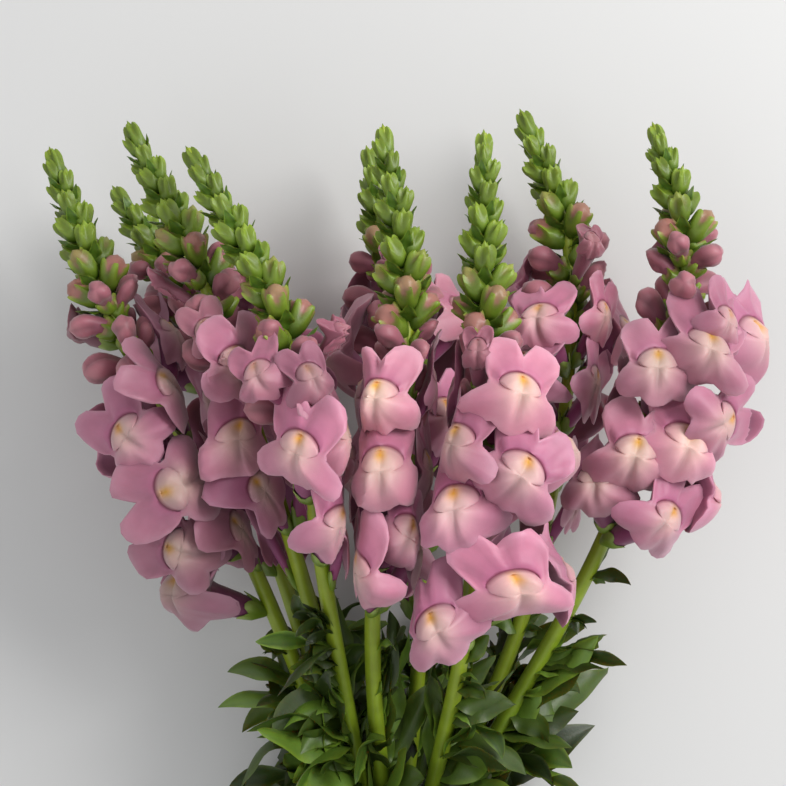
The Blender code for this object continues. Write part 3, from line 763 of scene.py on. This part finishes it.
petalLook = dict(roughness=0.5, cloud=90, cloudDetail=3, mottle=0.11, grain=1900, bump=0.12,
                 sheen=0.25, soft=0.15, softScale=0.004, softColour=(1.0, 0.45, 0.5))
greenLook = dict(roughness=0.42, cloud=130, cloudDetail=4, mottle=0.16, grain=1200, bump=0.18,
                 sheen=0.0, soft=0.06, softScale=0.002, softColour=(1.0, 0.2, 0.1))
tieLook = dict(roughness=0.75, stretch=(1.0, 9.0, 1.0), fibre=240, fibreDetail=5, bump=0.5,
               dark=linear(150, 118, 74), pale=linear(206, 176, 126))


def startMaterial(name, roughness):
    material = bpy.data.materials.new(name)
    material.use_nodes = True
    nodes, links = material.node_tree.nodes, material.node_tree.links
    shader = nodes["Principled BSDF"]
    shader.inputs["Roughness"].default_value = roughness
    return material, nodes, links, shader


def addNoise(nodes, links, coords, scale, detail):
    noise = nodes.new("ShaderNodeTexNoise")
    noise.inputs["Scale"].default_value = scale
    noise.inputs["Detail"].default_value = detail
    links.new(coords, noise.inputs["Vector"])
    return noise.outputs["Fac"]


def addBump(nodes, links, height, shader, strength, distance):
    bump = nodes.new("ShaderNodeBump")
    bump.inputs["Strength"].default_value = strength
    bump.inputs["Distance"].default_value = distance
    links.new(height, bump.inputs["Height"])
    links.new(bump.outputs["Normal"], shader.inputs["Normal"])


def plantMaterial(name, look):               # the piece's own tint, softly clouded and grained
    material, nodes, links, shader = startMaterial(name, look["roughness"])
    tint = nodes.new("ShaderNodeAttribute")
    tint.attribute_name = "tint"
    coords = nodes.new("ShaderNodeTexCoord").outputs["Object"]
    cloud = addNoise(nodes, links, coords, look["cloud"], look["cloudDetail"])
    grain = addNoise(nodes, links, coords, look["grain"], 2)
    ramp = nodes.new("ShaderNodeMapRange")
    ramp.inputs["To Min"].default_value = 1 - look["mottle"] * 2
    ramp.inputs["To Max"].default_value = 1 + look["mottle"] * 2
    links.new(cloud, ramp.inputs["Value"])
    shade = nodes.new("ShaderNodeVectorMath")
    shade.operation = "SCALE"
    links.new(tint.outputs["Color"], shade.inputs[0])
    links.new(ramp.outputs["Result"], shade.inputs["Scale"])
    links.new(shade.outputs["Vector"], shader.inputs["Base Color"])
    addBump(nodes, links, grain, shader, look["bump"], 0.0004)
    shader.inputs["Sheen Weight"].default_value = look["sheen"]
    shader.inputs["Subsurface Weight"].default_value = look["soft"]
    shader.inputs["Subsurface Scale"].default_value = look["softScale"]
    shader.inputs["Subsurface Radius"].default_value = look["softColour"]
    return material


def tieMaterial():
    material, nodes, links, shader = startMaterial("raffiaTie", tieLook["roughness"])
    coords = nodes.new("ShaderNodeTexCoord")
    stretch = nodes.new("ShaderNodeMapping")
    stretch.inputs["Scale"].default_value = tieLook["stretch"]     # fibres run round the tie
    links.new(coords.outputs["Object"], stretch.inputs["Vector"])
    fibre = addNoise(nodes, links, stretch.outputs["Vector"], tieLook["fibre"],
                     tieLook["fibreDetail"])
    ramp = nodes.new("ShaderNodeValToRGB")
    ramp.color_ramp.elements[0].position = 0.3
    ramp.color_ramp.elements[0].color = (*tieLook["dark"], 1)
    ramp.color_ramp.elements[1].position = 0.7
    ramp.color_ramp.elements[1].color = (*tieLook["pale"], 1)
    links.new(fibre, ramp.inputs["Fac"])
    links.new(ramp.outputs["Color"], shader.inputs["Base Color"])
    addBump(nodes, links, fibre, shader, tieLook["bump"], 0.0006)
    return material


# pieces

def buildHead(number, stem, material):
    piece, tint = startPiece()
    draw = random.Random(seeds["lips"] + number)
    looks = random.Random(seeds["looks"] + number)
    placed = placeFlorets(stem, random.Random(seeds["florets"] + number))
    for station, azimuth, lean, size, openness in placed:
        outline = lipOutline(openness, draw)
        bend = floretSurface(openness, outline, looks.uniform(0, 6))
        # each floret's brightness varies at random; a stem's tone darkens it further as painted
        # shade
        toneAndPaintedLight = looks.uniform(*floret["toneAndPaintedLight"]) * stem.get("tone", 1.0)
        toneAndPaintedLight = np.array([1.0, looks.uniform(0.92, 1.03), looks.uniform(0.95, 1.04)]) * toneAndPaintedLight
        nod, yaw = looks.uniform(*floret["nod"]), looks.uniform(*floret["yaw"])

        def turned(u, v):                    # each face looks its own way
            local, colour = bend(u, v)
            tilt = nod * (local[:, 1] - floret["faceCentre"]) + yaw * local[:, 0]
            local[:, 2] += tilt * smooth((local[:, 2] - 12) / 14)
            return local, colour * toneAndPaintedLight
        bendGrid(piece, tint, floret, onStem(turned, stem, station, azimuth, lean, size))
    closed = placeYoung(stem, placed, looks)
    for station, azimuth, long, wide, phase in closed:
        snout = youngSurface(long, wide, phase)
        bendGrid(piece, tint, young, onStem(snout, stem, station, azimuth))
    finishPiece(piece, f"headPetals{number}", material, [f"flower_head_{number}"])
    return placed, closed


def buildGreens(number, stem, placed, closed, material):
    piece, tint = startPiece()
    draw = random.Random(seeds["greens"] + number)
    rows = int((stem["station"][-1] - stem["station"][0]) / stemShape["every"])
    bendGrid(piece, tint, dict(stemShape, rows=rows), stemSurface(stem, rows))
    for station, azimuth, lean, size, _ in placed:
        cup = onStem(calyxSurface(), stem, station, azimuth, lean, size)
        bendGrid(piece, tint, calyxShape, cup)
    for station, azimuth, long, wide, _ in closed:
        lean = math.radians(young["start"] + young["sheathLean"])
        sheath = budSurface(long * young["sheathLong"], wide * young["sheathWide"], lean,
                            young["sheathRipe"], 1.0)
        bendGrid(piece, tint, budShape, onStem(sheath, stem, station, azimuth))
    for station, azimuth, long, wide, lean, t in placeBuds(stem, draw):
        ripe = mix(1.0, 0.0, (t - 0.12) / 0.25)
        bud = budSurface(long, wide, lean, ripe, draw.uniform(0.85, 1.15))
        bendGrid(piece, tint, budShape, onStem(bud, stem, station, azimuth))
        bract = (long * bractShape["long"], wide * bractShape["wide"], lean + bractShape["rise"],
                 bractShape["curl"], 0.0, 0.0, bractShape["shade"])
        addLeaf(piece, tint, stem, station - bractShape["below"], azimuth, bract)
    lowest = min(p[0] for p in placed)
    for station, azimuth, *shape in placeLeaves(stem, lowest, draw):
        addLeaf(piece, tint, stem, station, azimuth, shape)
    bmesh.ops.remove_doubles(piece, verts=piece.verts, dist=weldGap)
    finishPiece(piece, f"stemGreens{number}", material, [f"leafy_stem_{number}"])


tie = dict(rows=97, columns=59, strands=6, rise=0.5, inset=0.05, fill=0.99,
           colour=linear(190, 160, 110))


def buildTie(material):
    inner = (layout["slotRadius"] + layout["stemRadius"] + layout["slack"])
    outer = inner + layout["tieThickness"]
    piece, tint = startPiece()

    def band(u, v):                          # round the stems along u, round the strip along v
        turn = u * 2 * math.pi
        top = v < 0.5
        across = np.where(top, v * 4 - 1, 3 - v * 4)
        ridge = np.abs(np.sin(across * tie["strands"] / 2 * math.pi))
        radius = np.where(top, outer - tie["inset"] - tie["rise"] * (1 - ridge),
                          inner + tie["inset"])
        along = layout["tieY"] + across * (layout["tieWidth"] / 2) * tie["fill"]
        place = np.stack([radius * np.cos(turn), along, outer + radius * np.sin(turn)], 1)
        return place, np.tile(np.array(tie["colour"]), (len(u), 1))
    bendGrid(piece, tint, tie, band)
    finishPiece(piece, "raffiaBand", material, ["tie"])


# stage, light and camera, in metres

view = dict(height=0.85, focus=0.070, pixel=0.00042, frame=786, sensor=36)
studio = dict(tableSize=3.0, table=linear(222, 221, 219), roughness=0.85,
              sky=0.56, skyColour=(0.95, 0.97, 1.0),
              key=dict(place=(0.95, 0.62, 0.95), target=(0.0, 0.1, 0.05), size=0.75, power=15.5),
              fill=dict(place=(-0.7, -0.5, 1.2), target=(0.0, 0.0, 0.05), size=1.2, power=2.2))


def buildStage():
    piece = bmesh.new()
    bmesh.ops.create_grid(piece, x_segments=1, y_segments=1, size=studio["tableSize"])
    mesh = bpy.data.meshes.new("table")
    piece.to_mesh(mesh)
    piece.free()
    table = bpy.data.objects.new("table", mesh)
    bpy.context.scene.collection.objects.link(table)
    material, _, _, shader = startMaterial("paleTable", studio["roughness"])
    shader.inputs["Base Color"].default_value = (*studio["table"], 1)
    mesh.materials.append(material)


def addLight(name, place, target, size, power):
    lamp = bpy.data.lights.new(name, "AREA")
    lamp.size = size
    lamp.energy = power
    item = bpy.data.objects.new(name, lamp)
    item.location = place
    item.rotation_euler = (Vector(target) - Vector(place)).to_track_quat("-Z", "Y").to_euler()
    bpy.context.scene.collection.objects.link(item)


def buildStudio():
    addLight("keyLight", **studio["key"])
    addLight("fillLight", **studio["fill"])
    world = bpy.data.worlds.new("softRoom")
    world.use_nodes = True
    background = world.node_tree.nodes["Background"]
    background.inputs["Color"].default_value = (*studio["skyColour"], 1)
    background.inputs["Strength"].default_value = studio["sky"]
    bpy.context.scene.world = world
    bpy.context.scene.view_settings.view_transform = "Standard"


def buildCamera():
    lens = bpy.data.cameras.new("photoCamera")
    lens.sensor_width = view["sensor"]
    lens.sensor_fit = "HORIZONTAL"
    lens.lens = view["sensor"] * (view["height"] - view["focus"]) / (view["pixel"] * view["frame"])
    camera = bpy.data.objects.new("photoCamera", lens)
    camera.location = (shift[0] / 1000, shift[1] / 1000, view["height"])
    bpy.context.scene.collection.objects.link(camera)
    bpy.context.scene.camera = camera


for stem in stems:
    layOut(stem)
for stem in stems:
    measureRoom(stem)
print("laid out", len(stems), "stems")
petals = plantMaterial("snapdragonPetal", petalLook)
greens = plantMaterial("snapdragonGreen", greenLook)
for number, stem in enumerate(stems, 1):
    opened, closed = buildHead(number, stem, petals)
    buildGreens(number, stem, opened, closed, greens)
    print("stem", number, "with", len(opened), "florets")
buildTie(tieMaterial())
buildStage()
buildStudio()
buildCamera()
print("stage, light and camera")
